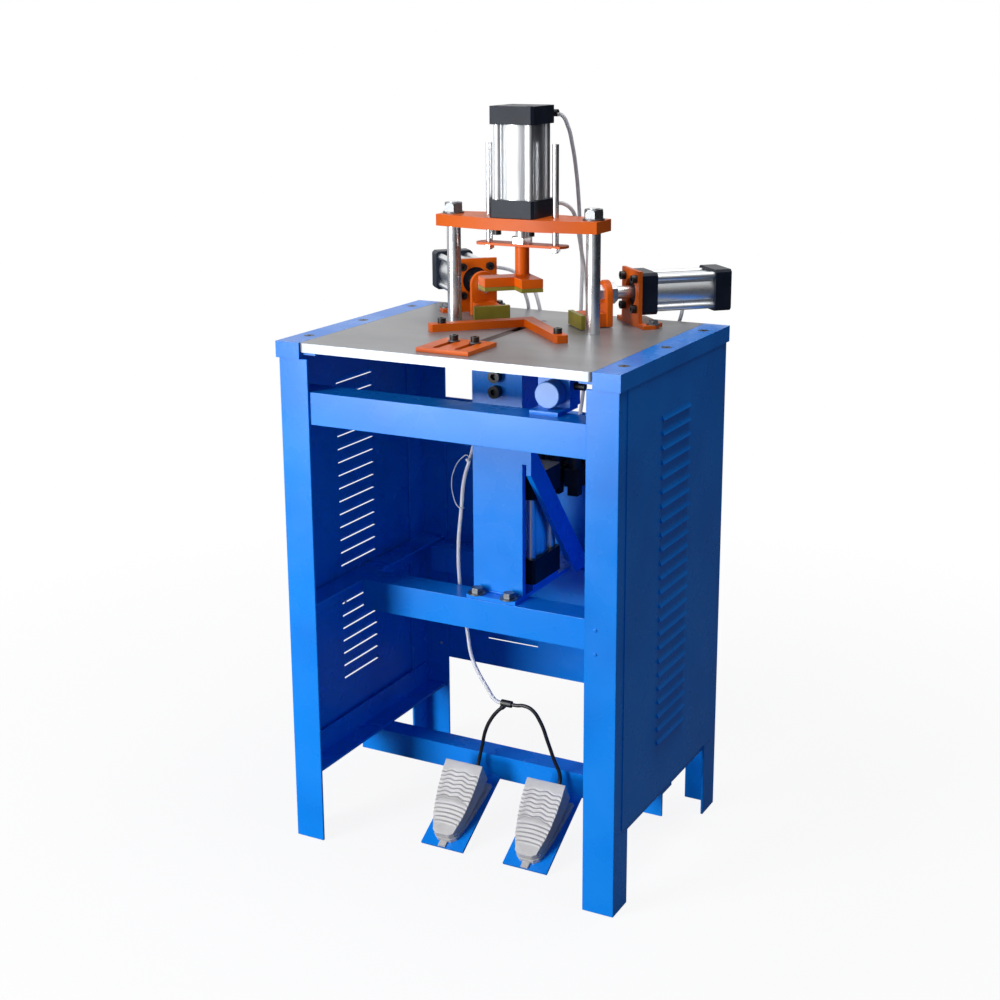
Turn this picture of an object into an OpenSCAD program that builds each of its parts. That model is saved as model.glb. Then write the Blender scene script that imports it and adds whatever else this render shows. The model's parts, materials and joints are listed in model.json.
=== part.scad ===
// Picture frame underpinner: a pneumatic bench on an angle-iron stand.
// A press foot and two side clamps hold a mitred corner against a V fence,
// and a ram below the worktop drives V nails up through the joint.
// Millimetres, +Z up, front towards -Y, origin on the floor under the centre.

/* [Stand] */
// Outer width across the legs
stand_width = 556; // [480:2:700]
// Outer depth across the legs
stand_depth = 412; // [380:2:520]
// Height of the worktop's surface
worktop_height = 810; // [740:5:900]
// Flange of the legs and the wide crossbars
leg_size = 50; // [40:1:60]
// Flange of the side rails and the pedal bar
rail_size = 40; // [30:1:45]
// Thickness of all the angle iron
angle_wall = 4; // [3:0.5:5]
// Width of the top rails
top_rail_width = 42; // [34:1:50]
// Height of the top rails
top_rail_height = 25; // [20:1:32]
// Height of the shelf's top face
shelf_height = 396; // [340:2:450]
// Underside of the low side rails
low_rail_height = 114; // [90:2:150]
// Drop from the worktop to the top of the front crossbar
crossbar_drop = 75; // [60:1:100]

/* [Panels] */
// Sheet of the panels
sheet = 1.5; // [1:0.1:2.5]
// Louvres in each side panel
louvre_count = 24; // [8:1:24]
// Louvres in each column of the rear panel
rear_louvre_count = 18; // [6:1:18]
// Length of a side louvre
louvre_length = 107; // [60:1:110]
// Spacing of the louvres
louvre_pitch = 21.8; // [18:0.1:22]

/* [Worktop] */
// Thickness of the worktop
worktop_thickness = 14; // [12:1:20]
// Rounding of the worktop's front corners
worktop_corner = 6; // [2:1:10]

/* [Column] */
// Width of the driver column
column_width = 86; // [76:1:96]
// Thickness of the column's plate
column_thickness = 10; // [8:1:14]
// Thickness of the column's base plate
base_thickness = 6; // [5:1:10]

/* [Press] */
// Distance between the two pillars
pillar_spacing = 240; // [220:2:270]
// Diameter of a pillar
pillar_diameter = 22; // [18:1:26]
// Clear height between worktop and beam
beam_clearance = 154; // [146:1:180]
// Thickness of the beam
beam_thickness = 18; // [14:1:24]
// Width of the beam at its middle
beam_width = 84; // [80:1:100]
// Distance between the two guide rods
guide_rod_spacing = 113.4; // [108:0.2:130]
// Diameter of a guide rod
guide_rod_diameter = 10; // [8:1:12]
// Thickness of the press foot
foot_thickness = 14; // [10:1:18]
// Width of the press foot's arms
foot_arm = 35; // [28:1:40]
// Thickness of the press foot's pad
pad_thickness = 6; // [4:1:8]

/* [Cylinders] */
// Square of the press cylinder
press_size = 75; // [72:1:80]
// Length of the press cylinder
press_length = 166; // [158:1:180]
// Bore of the press cylinder
press_bore = 63; // [56:1:63]
// Square of the clamp cylinders
clamp_size = 65; // [62:1:70]
// Length of the clamp cylinders
clamp_length = 151; // [144:1:165]
// Bore of the clamp cylinders
clamp_bore = 50; // [44:1:50]
// Length of an end cap
cap_length = 27; // [24:1:30]
// Diameter of the press and clamp rods
rod_diameter = 20; // [16:1:22]
// Square of the driver cylinder
driver_size = 95; // [88:1:95]
// Length of the driver cylinder
driver_length = 178; // [165:1:182]
// Bore of the driver cylinder
driver_bore = 80; // [72:1:84]

/* [Fence and feed] */
// Width of the fence's bars
fence_bar = 20; // [16:1:26]
// Height of the fence
fence_height = 12; // [8:1:15]
// Length of a fence bar along its middle
fence_length = 160; // [130:1:175]
// Width of the feed strip
feed_width = 15; // [12:1:15]
// Thickness of the feed strip
feed_thickness = 4; // [3:0.5:6]
// Square of the slotted plate
slide_plate = 86; // [76:1:96]

/* [Side clamps] */
// Distance from the corner to the clamp bracket
clamp_distance = 204; // [198:1:212]
// Height of the clamp's axis above the worktop
clamp_axis = 51; // [46:1:58]
// Thickness of the clamp bracket
bracket_thickness = 6; // [5:1:10]
// Width of a jaw's plate
jaw_width = 42; // [38:1:50]
// Width of a jaw's pad
jaw_pad_width = 60; // [50:1:64]

/* [Pedals] */
// Slope of the pedal plates, in degrees
pedal_slope = 30.5; // [27:0.5:33]
// Length of a pedal along its plate
pedal_length = 112; // [100:1:120]
// Width of a pedal at its rear
pedal_rear_width = 63; // [56:1:68]
// Width of a pedal at its front
pedal_front_width = 40; // [34:1:50]
// Width of a pedal plate
pedal_plate_width = 76; // [70:1:84]

/* [Travel] */
// Stroke of the press
press_stroke = 48; // [40:1:48]
// Stroke of the side clamps
clamp_stroke = 48; // [30:1:48]
// Stroke of the nail ram
ram_stroke = 30; // [24:1:30]
// Travel of the feed strip
feed_travel = 20; // [12:1:20]
// Travel of a pedal, in degrees
pedal_travel = 8; // [4:0.5:8]

/* [Hidden] */
$fn = 32;
eps = 0.01;
// radial clearance of a rod in its gland, guide or hole
slide_gap = 0.05;
// radial clearance of a piston in its barrel
piston_gap = 0.3;
// clearance of pieces that only lie side by side
side_gap = 0.3;

half_width = stand_width / 2;
half_depth = stand_depth / 2;
// the top rails stand out past the legs by this much at the side and the ends
rail_side_step = 3;
rail_end_step = 4;
leg_height = worktop_height - top_rail_height;
top_rail_wall = 4;
worktop_half_depth = half_depth + rail_end_step;
top_rail_inner = half_width + rail_side_step - top_rail_width;
worktop_half_width = top_rail_inner - 0.5;
worktop_underside = worktop_height - worktop_thickness;
ledge_width = 24;
ledge_thickness = 5;

crossbar_top = worktop_height - crossbar_drop;
front_bar_y = -half_depth + angle_wall;
shelf_front_y = -62;
shelf_rear_y = 158;
shelf_rear_width = 44;
pedal_bar_y = -15;
inner_rail_x = half_width - angle_wall - rail_size;

panel_half_depth = half_depth - 26;
panel_bottom = 127;
louvre_first = worktop_height - 96;
louvre_middle = -4;
louvre_depth = 3.5;
louvre_height = 9;
rear_panel_half_width = half_width - 28;
rear_panel_bottom = 168;
rear_panel_top = worktop_height - 164;
rear_louvre_length = 100;
rear_louvre_x = 100;
rear_louvre_first = rear_panel_bottom + 49;
rear_louvre_head = 58.4;
rear_louvre_step = (rear_panel_top - rear_louvre_first - rear_louvre_head)
    / (rear_louvre_count - 1);

// the press axis and everything that is centred on it
press_y = 50;
beam_bottom = worktop_height + beam_clearance;
beam_top = beam_bottom + beam_thickness;
bolt_square = 56.5;
press_cap_bottom = beam_top;
piston_length = 20;
piston_end_gap = 7;
rod_nut_flats = 30;
rod_nut_height = 10;
strip_top = beam_bottom - 23;
strip_thickness = 4;
strip_half_length = guide_rod_spacing / 2 + 20;
strip_half_width = 15;
foot_bottom = worktop_height + 68;
foot_top = foot_bottom + foot_thickness;
post_radius = 11;
foot_inner_y = 25;
foot_outer_y = foot_inner_y + foot_arm * sqrt(2);
foot_left_arm = 83;
foot_right_arm = 68;

// pillar nuts are M18, across flats 27
pillar_thread_radius = 8.8;
nut_flats = 27;
nut_height = 14;
washer_thickness = 2.5;
pillar_stub = 18;

// driver column and what stands on its base plate
column_front_y = -35;
base_front_y = -60;
base_rear_y = 200;
base_top = shelf_height + base_thickness;
driver_pad = 10;
driver_cap = 40;
driver_y = 45;
driver_bottom = base_top + driver_pad;
driver_top = driver_bottom + driver_length;
driver_rod_radius = 12.5;
brace_x = 50;
brace_thickness = 8;
brace_width = 36;
brace_rise = 254;
brace_top = base_top + brace_rise;
brace_rear_y = 174;

// ram and its guide, below the worktop's nail hole
ram_width = 32;
ram_depth = 16;
ram_lift = 50;
ram_bottom = driver_top + ram_lift;
blade_cover = 17;
blade_length = 20;
blade_tip = worktop_underside - blade_cover;
ram_shoulder = blade_tip - blade_length;
blade_width = 8;
blade_thickness = 1.6;
guide_top = worktop_underside - 8;
guide_rear_wall = 22;
guide_side_wall = 14;
guide_front_wall = 16;
guide_web = 10;
guide_bottom = guide_top - 96;
guide_half_width = 35;
nail_hole_radius = 6;
column_bolt_heights = [worktop_underside - 46, worktop_underside - 70];

fence_inner_y = 57;
fence_middle_y = fence_inner_y + fence_bar / sqrt(2);
fence_end_radius = 4;
fence_screw_along = [fence_length - 20];
plate_left = -49;
plate_front = -190;
plate_thickness = 6;
plate_lift = 0.2;
slot_half_width = 5;
slide_screw_x = [-23, 12];
slide_screw_y = -124;
feed_front = -130;
feed_rear = 85;
feed_plate_overlap = 20;
groove_gap = 0.3;

// side clamps lie at 45 degrees, their axes shifted a little towards each other
clamp_offset = 10;
clamp_z = worktop_height + clamp_axis;
bracket_half_width = 36;
bracket_height = 87;
bracket_foot_length = 40;
bracket_foot_half_width = 56;
bracket_foot_thickness = 6;
clamp_cylinder_start = clamp_distance + bracket_thickness;
jaw_back = clamp_distance - 36;
jaw_plate = 10;
jaw_lift = 1;
jaw_block_height = 22;
jaw_block_front = 120;
jaw_pad_thickness = 8;
jaw_nut_flats = 24;
jaw_nut_height = 9;
jaw_thread_radius = 8;
clamp_bolt_x = clamp_cylinder_start + 15;
clamp_bolt_half = 45;
clamp_bolt_square = 46.5;

// regulator behind the front crossbar, its knob facing the front
regulator_x = 152;
regulator_z = worktop_height - 48;
knob_radius = 19;
knob_length = 22;
knob_front_y = -172;
regulator_shaft_radius = 7;

// valve manifold on the rear panel
manifold_left = -50;
manifold_right = 60;
manifold_depth = 30;
manifold_top = 564;
manifold_height = 34;
manifold_bottom = manifold_top - manifold_height;
manifold_fitting_x = [-38, -18, 2, 22, 42];
fitting_radius = 5.5;
hose_radius = 3;
fitting_top = manifold_top + 16;

// pedals
pedal_x = [-47, 100];
pedal_plate_front_y = -140;
pedal_plate_thickness = 4;
pedal_start = 12;
pedal_front_height = 17.6;
pedal_rear_height = 58;
pedal_skin = 3;
pedal_rib_count = 14;
pedal_rib_height = 1;
pedal_hinge_s = pedal_start + 11;
pedal_hinge_n = 12;
pedal_pin_radius = 3;
pedal_gland_radius = 5;
pedal_tray_height = 8;
pedal_gland_x = 7;
gland_n = 26;
// how far the treadle's rear end moves down, and a little more
pedal_drop = pedal_length * tan(pedal_travel) + 2;
// the sides of a pedal are rounded outwards by this much at their middle
pedal_bulge = 5.5;
gland_length = 6;
pedal_end = pedal_start + pedal_length;

// cord routes, chosen by hand along the photographed lines
cable_radius = 3;
lead_radius = 3;
sleeve_radius = 5.5;
cable_route = [
    [-60, 190, 547], [-72, 190, 547], [-86, 182, 556], [-90, 160, 588],
    [-84, 120, 628], [-74, 60, 642], [-68, 20, 630], [-68, 2, 604],
    [-78, 0, 570], [-84, 0, 520], [-90, 0, 458], [-89, 0, 400], [-82, -3, 358],
    [-70, -10, 318], [-58, -19, 282], [-40, -28, 258], [-20, -35, 238],
    [-6, -39, 224], [2, -40, 221], [8, -40, 221]
];
left_lead_route = [
    [8, -40, 212], [0, -40, 204], [-12, -39, 188], [-23, -37, 166],
    [-33, -31, 134], [-38, -29, 116], [-40, -30.5, 104], [-40, -36.3, 95.9],
    [-40, -43.2, 91.83]
];
right_lead_route = [
    [26, -40, 221], [34, -40, 221], [48, -40, 223], [62, -40, 219], [76, -38, 200],
    [88, -36, 168], [98, -31, 134], [105, -29, 116], [107, -30.5, 104], [107, -36.3, 95.9],
    [107, -43.2, 91.83]
];
press_top_route = [
    [34, 104, 1133], [40, 104, 1132], [48, 109, 1116], [52, 118, 1086],
    [51, 134, 1046], [46, 154, 1002], [40, 172, 962], [33, 192, 924],
    [26, 212, 888], [21, 221, 850], [19, 222, 800], [15, 224, 760], [5, 222, 728],
    [-8, 212, 696], [-11, 199, 648], [-4, 193, 612], [2, 192, 594], [2, 192, 580]
];
press_bottom_route = [
    [34, 104, 999], [44, 104, 998], [54, 110, 990], [57, 122, 972],
    [52, 144, 944], [45, 168, 918], [38, 192, 893], [32, 212, 868],
    [30, 224, 836], [29, 228, 790], [30, 225, 740], [31, 212, 692],
    [30, 199, 644], [25, 193, 608], [22, 192, 592], [22, 192, 580]
];
left_hose_a_route = [
    [-119.1, 196.2, 861], [-111.1, 204.2, 861], [-95, 214, 856], [-82, 221, 832],
    [-74, 223, 790], [-64, 221, 736], [-56, 206, 674], [-47, 195, 626],
    [-38, 192, 594], [-38, 192, 580]
];
left_hose_b_route = [
    [-207.5, 284.6, 861], [-199.5, 292.6, 861], [-176, 300, 861], [-132, 284, 857],
    [-86, 252, 842], [-60, 229, 812], [-54, 229, 770], [-47, 226, 722],
    [-40, 207, 674], [-29, 196, 632], [-18, 192, 596], [-18, 192, 580]
];
right_hose_route = [
    [207.5, 284.6, 861], [199.5, 292.6, 861], [184, 296, 852], [178, 280, 830],
    [182, 250, 806], [178, 228, 776], [150, 222, 720], [112, 206, 676],
    [82, 197, 644], [54, 193, 608], [42, 192, 594], [42, 192, 580]
];

blue = [0.05, 0.32, 0.85];
orange = [0.85, 0.37, 0.06];
cap_black = [0.1, 0.11, 0.15];
steel = [0.78, 0.79, 0.8];
alloy = [0.72, 0.74, 0.76];
table_grey = [0.55, 0.55, 0.54];
olive = [0.55, 0.55, 0.15];
pedal_grey = [0.76, 0.75, 0.74];
hose_white = [0.9, 0.91, 0.93];
rubber_black = [0.06, 0.06, 0.07];

// the node to draw, or all of them

// ---------------------------------------------------------------- shared forms

// angle iron along +X, its upright flange at the front and its flat one on top
module top_angle(length, size) {
    cube([length, angle_wall, size]);
    translate([0, 0, size - angle_wall])
        cube([length, size, angle_wall]);
}

// a square with its four corners cut
module cut_square(size, cut) {
    h = size / 2;
    polygon([
        [cut - h, -h], [h - cut, -h], [h, cut - h], [h, h - cut],
        [h - cut, h], [cut - h, h], [-h, h - cut], [-h, cut - h]
    ]);
}

module at_square(spacing) {
    for (x = [-1, 1], y = [-1, 1])
        translate([x * spacing / 2, y * spacing / 2, 0])
            children();
}

module hex_prism(flats, height) {
    cylinder(r = flats / sqrt(3), h = height, $fn = 6);
}

// washer, nut and domed stub, standing on z = 0 around a thread
module dome_nut(flats, height, thread_radius) {
    difference() {
        union() {
            cylinder(r = flats * 0.62, h = washer_thickness);
            translate([0, 0, washer_thickness - eps])
                intersection() {
                    hex_prism(flats, height);
                    cylinder(r1 = flats * 0.72, r2 = flats * 0.5, h = height);
                }
        }
        translate([0, 0, -1])
            cylinder(r = thread_radius, h = height + washer_thickness + 2);
    }
}

// hex bolt head with its washer, standing on z = 0
module hex_bolt(flats, head, washer) {
    cylinder(r = flats * 0.85, h = washer);
    translate([0, 0, washer - eps])
        intersection() {
            hex_prism(flats, head);
            cylinder(r1 = flats * 0.72, r2 = flats * 0.5, h = head);
        }
}

// socket head screw, head from z = 0 upwards and shank below
module socket_screw(thread, shank) {
    difference() {
        union() {
            cylinder(r = thread * 0.81, h = thread);
            translate([0, 0, -shank])
                cylinder(r = thread / 2, h = shank + eps);
        }
        translate([0, 0, thread * 0.45])
            hex_prism(thread * 0.75, thread);
    }
}

// pneumatic cylinder along +Z, rod end at z = 0
module cylinder_caps(size, cap, length, rod_radius) {
    difference() {
        linear_extrude(height = cap)
            cut_square(size, 4);
        translate([0, 0, -1])
            cylinder(r = rod_radius + slide_gap, h = cap + 2);
    }
    difference() {
        translate([0, 0, length - cap])
            linear_extrude(height = cap)
                cut_square(size, 4);
        translate([0, 0, length - 4])
            at_square(size * 0.753)
                cylinder(r = size * 0.07, h = 5);
    }
}

// its barrel is an extruded tube with four corner lobes
module cylinder_barrel(size, bore, cap, length) {
    offset = size * 0.36;
    translate([0, 0, cap])
        linear_extrude(height = length - 2 * cap)
            difference() {
                union() {
                    circle(r = bore / 2 + 2.2, $fn = 48);
                    square(2 * offset, center = true);
                    at_square(2 * offset)
                        circle(r = size * 0.085, $fn = 16);
                }
                circle(r = bore / 2 + piston_gap, $fn = 48);
            }
}

// rod and piston inside a barrel; the rod reaches out past z = 0
module cylinder_rod(bore, rod_radius, piston_start, reach) {
    translate([0, 0, -reach])
        cylinder(r = rod_radius, h = reach + piston_start + eps);
    translate([0, 0, piston_start])
        cylinder(r = bore / 2, h = piston_length, $fn = 48);
}

// ring of the sweep, square to the route
function unit(v) = v / norm(v);
function heading(route, i) =
    unit(route[min(i + 1, len(route) - 1)] - route[max(i - 1, 0)]);
function across(t, side) = unit(cross(t, side));
function ring(route, i, radius, side, sides) =
    let (t = heading(route, i), u = across(t, side), v = cross(t, u))
    [for (k = [0:sides - 1])
        route[i] + radius * (cos(360 * k / sides) * u + sin(360 * k / sides) * v)];

// tube swept along a route; side is a direction the route never runs in
module swept_tube(route, radius, side, sides = 8) {
    rings = len(route);
    points = [for (i = [0:rings - 1]) each ring(route, i, radius, side, sides)];
    walls = [for (i = [0:rings - 2], k = [0:sides - 1], half = [0, 1])
        let (a = i * sides + k, b = i * sides + (k + 1) % sides)
        half == 0 ? [a, a + sides, b] : [b, a + sides, b + sides]];
    start = [[for (k = [0:sides - 1]) k]];
    end = [[for (k = [0:sides - 1]) rings * sides - 1 - k]];
    polyhedron(points = points, faces = concat(walls, start, end), convexity = 6);
}

// ------------------------------------------------------------------- the stand

module top_rail() {
    difference() {
        translate([top_rail_inner, -worktop_half_depth, leg_height])
            cube([top_rail_width, 2 * worktop_half_depth, top_rail_height]);
        translate([top_rail_inner + top_rail_wall, -worktop_half_depth + top_rail_wall,
                leg_height + top_rail_wall])
            cube([
                top_rail_width - 2 * top_rail_wall,
                2 * (worktop_half_depth - top_rail_wall),
                top_rail_height - 2 * top_rail_wall
            ]);
        rail_screw_positions()
            translate([0, 0, -4.2]) {
                cylinder(r1 = 4.3, r2 = 8.5, h = 4.2 + eps);
                translate([0, 0, -4])
                    cylinder(r = 4.3, h = 5);
            }
    }
    translate([top_rail_inner - ledge_width, -worktop_half_depth + 8,
            worktop_underside - ledge_thickness])
        cube([ledge_width + 1, 2 * worktop_half_depth - 16, ledge_thickness]);
}

module rail_screw_positions() {
    for (y = [-0.72, 0, 0.72])
        translate([top_rail_inner + top_rail_width / 2, y * worktop_half_depth, worktop_height])
            children();
}

module top_rails() {
    color(blue)
        for (side = [0, 1])
            mirror([side, 0, 0])
                top_rail();
}

// side and end are 0 for left and front, 1 for right and rear
module leg(side, end) {
    color(blue)
        mirror([side, 0, 0])
            mirror([0, end, 0])
                translate([-half_width, -half_depth, 0])
                    difference() {
                        cube([leg_size, leg_size, leg_height]);
                        translate([angle_wall, angle_wall, -1])
                            cube([leg_size, leg_size, leg_height + 2]);
                    }
}

module crossbars() {
    color(blue) {
        translate([-half_width + angle_wall, front_bar_y, crossbar_top - leg_size])
            top_angle(2 * (half_width - angle_wall), leg_size);
        translate([-inner_rail_x, shelf_front_y, shelf_height - leg_size])
            top_angle(2 * inner_rail_x, leg_size);
        difference() {
            translate([-inner_rail_x, shelf_rear_y, shelf_height - leg_size])
                top_angle(2 * inner_rail_x, shelf_rear_width);
            translate([-140, shelf_rear_y + 26, shelf_height - 8])
                cylinder(r = 6, h = 10);
        }
    }
}

// side rail on the +X side: an upright flange against the legs, a flat one inwards
module side_rail(bottom, flat_on_top) {
    length = 2 * (half_depth - angle_wall);
    translate([inner_rail_x, -length / 2, bottom]) {
        translate([rail_size - angle_wall, 0, 0])
            cube([angle_wall, length, rail_size]);
        translate([0, 0, flat_on_top ? rail_size - angle_wall : 0])
            cube([rail_size, length, angle_wall]);
    }
}

module side_rails() {
    color(blue)
        for (side = [0, 1])
            mirror([side, 0, 0]) {
                side_rail(shelf_height - rail_size, true);
                side_rail(low_rail_height, false);
            }
}

// pressed louvre in a sheet lying in y = 0, opening downwards on its +Y side
module louvre_hood(length) {
    rotate([90, 0, 90]) {
        linear_extrude(height = length)
            polygon([
                [sheet - 0.4, louvre_height + 1], [sheet + louvre_depth, 2],
                [sheet + louvre_depth, 0.4], [sheet + louvre_depth - 0.9, 0.4],
                [0.2, louvre_height - 0.4], [0.2, louvre_height + 1]
            ]);
        for (end = [0, length - 1])
            translate([0, 0, end])
                linear_extrude(height = 1)
                    polygon([
                        [0.2, 0.4], [sheet + louvre_depth, 0.4],
                        [sheet + louvre_depth, 2], [0.2, louvre_height + 1]
                    ]);
    }
}

// sheet in the XZ plane with columns of louvres, outside towards +Y
module louvred_sheet(half_length, bottom, top, columns, length, first, step, count) {
    difference() {
        translate([-half_length, 0, bottom])
            cube([2 * half_length, sheet, top - bottom]);
        for (x = columns, i = [0:count - 1])
            translate([x - length / 2 + 1, -1, first + i * step])
                cube([length - 2, sheet + 2, louvre_height]);
    }
    for (x = columns, i = [0:count - 1])
        translate([x - length / 2, 0, first + i * step])
            louvre_hood(length);
}

module side_panel() {
    translate([half_width, 0, 0])
        rotate([0, 0, -90])
            louvred_sheet(panel_half_depth, panel_bottom, leg_height, [-louvre_middle],
                louvre_length, louvre_first - (louvre_count - 1) * louvre_pitch,
                louvre_pitch, louvre_count);
}

module left_panel() {
    color(blue)
        mirror([1, 0, 0])
            side_panel();
}

module right_panel() {
    color(blue)
        side_panel();
}

module rear_panel() {
    color(blue)
        translate([0, half_depth, 0])
            louvred_sheet(rear_panel_half_width, rear_panel_bottom, rear_panel_top,
                [-rear_louvre_x, rear_louvre_x], rear_louvre_length, rear_louvre_first,
                rear_louvre_step, rear_louvre_count);
}

// sloping plates from the floor up to the pedal bar
module pedal_plate(x) {
    run = pedal_bar_y + 2 - pedal_plate_front_y;
    rise = run * tan(pedal_slope);
    translate([x - pedal_plate_width / 2, 0, 0])
        rotate([90, 0, 90])
            linear_extrude(height = pedal_plate_width)
                polygon([
                    [pedal_plate_front_y, 0],
                    [pedal_plate_front_y + run, rise],
                    [pedal_plate_front_y + run, rise + pedal_plate_thickness / cos(pedal_slope)],
                    [pedal_plate_front_y - pedal_plate_thickness * sin(pedal_slope),
                        pedal_plate_thickness * cos(pedal_slope)]
                ]);
}

module pedal_bar() {
    color(blue) {
        translate([-half_width + angle_wall, pedal_bar_y, low_rail_height - rail_size])
            top_angle(2 * (half_width - angle_wall), rail_size);
        for (x = pedal_x)
            pedal_plate(x);
    }
}

module worktop() {
    color(table_grey)
        difference() {
            translate([0, 0, worktop_underside])
                linear_extrude(height = worktop_thickness) {
                    translate([-worktop_half_width, -worktop_half_depth + worktop_corner])
                        square([2 * worktop_half_width, 2 * worktop_half_depth - worktop_corner]);
                    translate([-worktop_half_width + worktop_corner, -worktop_half_depth])
                        square([2 * (worktop_half_width - worktop_corner), 2 * worktop_corner]);
                    for (x = [-1, 1])
                        translate([x * (worktop_half_width - worktop_corner),
                                -worktop_half_depth + worktop_corner])
                            circle(r = worktop_corner);
                }
            feed_groove();
            translate([0, driver_y, worktop_underside - 1])
                cylinder(r = nail_hole_radius, h = worktop_thickness + 2);
            for (x = [-1, 1])
                translate([x * pillar_spacing / 2, press_y, worktop_underside - 1])
                    cylinder(r = pillar_thread_radius, h = worktop_thickness + 2);
            fence_screw_positions()
                translate([0, 0, -12])
                    cylinder(r = 4, h = 13);
            for (x = slide_screw_x)
                translate([x, slide_screw_y, worktop_height - 12])
                    cylinder(r = 4, h = 13);
            for (side = [0, 1])
                mirror([side, 0, 0])
                    clamp_bolt_positions()
                        translate([0, 0, -12])
                            cylinder(r = 4, h = 13);
        }
}

module feed_groove() {
    translate([-feed_width / 2 - groove_gap, feed_front - 4,
            worktop_height - feed_thickness - groove_gap])
        cube([
            feed_width + 2 * groove_gap,
            feed_rear - feed_front + feed_travel + 8,
            feed_thickness + groove_gap + 1
        ]);
}

// ---------------------------------------------------------- column and driver

module brace() {
    run = brace_rear_y - column_front_y;
    rise = brace_top - base_top;
    slant = norm([run, rise]);
    foot_run = brace_width * slant / rise;
    head_drop = brace_width * slant / run;
    translate([brace_x, 0, 0])
        rotate([90, 0, 90])
            linear_extrude(height = brace_thickness)
                polygon([
                    [column_front_y, brace_top],
                    [column_front_y, brace_top - head_drop],
                    [brace_rear_y - foot_run, shelf_height],
                    [brace_rear_y, shelf_height],
                    [brace_rear_y, base_top]
                ]);
    // weld block to the column's edge and foot to the base plate's edge
    translate([column_width / 2 - eps, column_front_y, brace_top - 40])
        cube([brace_x - column_width / 2 + 2 * eps, column_thickness, 40]);
    translate([column_width / 2 - eps, brace_rear_y - foot_run, shelf_height])
        cube([brace_x - column_width / 2 + 2 * eps, foot_run, base_thickness]);
}

module column() {
    color(blue)
        difference() {
            union() {
                translate([-column_width / 2, column_front_y, base_top - eps])
                    cube([column_width, column_thickness, worktop_underside - base_top + eps]);
                translate([-column_width / 2, base_front_y, shelf_height])
                    cube([column_width, base_rear_y - base_front_y, base_thickness]);
                translate([-column_width / 2, driver_y - 44, base_top - eps])
                    cube([column_width, driver_size - 7, driver_pad + eps]);
                brace();
            }
            for (z = column_bolt_heights)
                translate([0, column_front_y - 1, z])
                    rotate([-90, 0, 0])
                        cylinder(r = 6 + side_gap, h = column_thickness + 2);
        }
}

module driver_caps() {
    color(cap_black)
        translate([0, driver_y, driver_top])
            rotate([180, 0, 0])
                cylinder_caps(driver_size, driver_cap, driver_length, driver_rod_radius);
}

module driver_barrel() {
    color(alloy)
        translate([0, driver_y, driver_top])
            rotate([180, 0, 0])
                cylinder_barrel(driver_size, driver_bore, driver_cap, driver_length);
}

module driver_rod() {
    color(steel)
        translate([0, driver_y, driver_top])
            rotate([180, 0, 0])
                cylinder_rod(driver_bore, driver_rod_radius,
                    driver_cap + ram_stroke + piston_end_gap, ram_bottom - driver_top);
}

module ram() {
    color(steel) {
        translate([-ram_width / 2, driver_y - ram_depth / 2, ram_bottom])
            cube([ram_width, ram_depth, ram_shoulder - ram_bottom]);
        translate([-blade_width / 2, driver_y - blade_thickness / 2, ram_shoulder - eps])
            cube([blade_width, blade_thickness, blade_tip - ram_shoulder + eps]);
    }
}

// block behind the column's top; the ram runs in its slot
module ram_guide() {
    back = column_front_y + column_thickness;
    color(blue)
        difference() {
            translate([-guide_half_width, back, guide_bottom])
                cube([2 * guide_half_width, driver_y + guide_rear_wall - back, guide_top - guide_bottom]);
            translate([-ram_width / 2 - slide_gap, driver_y - ram_depth / 2 - slide_gap,
                    guide_bottom - 1])
                cube([
                    ram_width + 2 * slide_gap,
                    ram_depth + 2 * slide_gap,
                    guide_top - guide_bottom + 2
                ]);
            translate([-guide_half_width + guide_side_wall, back + guide_front_wall, guide_bottom - 1])
                cube([
                    2 * (guide_half_width - guide_side_wall),
                    driver_y - ram_depth / 2 - back - guide_front_wall - guide_web,
                    guide_top - guide_bottom + 2
                ]);
            for (z = column_bolt_heights)
                translate([0, back - 1, z])
                    rotate([-90, 0, 0])
                        cylinder(r = 6 + side_gap, h = 14);
        }
}

// ------------------------------------------------------------------- the press

module pillars() {
    color(steel)
        for (x = [-1, 1])
            translate([x * pillar_spacing / 2, press_y, 0]) {
                translate([0, 0, worktop_height])
                    cylinder(r = pillar_diameter / 2, h = beam_clearance);
                translate([0, 0, beam_bottom - eps])
                    cylinder(r = pillar_thread_radius - side_gap,
                        h = beam_thickness + pillar_stub);
                translate([0, 0, worktop_underside - 20])
                    cylinder(r = pillar_thread_radius - side_gap,
                        h = worktop_thickness + 20 + eps);
            }
}

module beam() {
    end_x = pillar_spacing / 2 + 17;
    end_y = 26;
    mid_x = 50;
    mid_y = beam_width / 2;
    color(orange)
        translate([0, press_y, beam_bottom])
            difference() {
                linear_extrude(height = beam_thickness)
                    polygon([
                        [-end_x, -end_y], [-mid_x, -mid_y], [mid_x, -mid_y], [end_x, -end_y],
                        [end_x, end_y], [mid_x, mid_y], [-mid_x, mid_y], [-end_x, end_y]
                    ]);
                translate([0, 0, -1])
                    cylinder(r = rod_diameter / 2 + 4, h = beam_thickness + 2);
                for (x = [-1, 1]) {
                    translate([x * pillar_spacing / 2, 0, -1])
                        cylinder(r = pillar_thread_radius, h = beam_thickness + 2);
                    translate([x * guide_rod_spacing / 2, 0, -1])
                        cylinder(r = guide_rod_diameter / 2 + slide_gap, h = beam_thickness + 2);
                }
                translate([0, 0, -1])
                    at_square(bolt_square)
                        cylinder(r = 4 + side_gap, h = beam_thickness + 2);
            }
}

module press_caps() {
    color(cap_black)
        translate([0, press_y, press_cap_bottom])
            cylinder_caps(press_size, cap_length, press_length, rod_diameter / 2);
}

module press_barrel() {
    color(alloy)
        translate([0, press_y, press_cap_bottom])
            cylinder_barrel(press_size, press_bore, cap_length, press_length);
}

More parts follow.
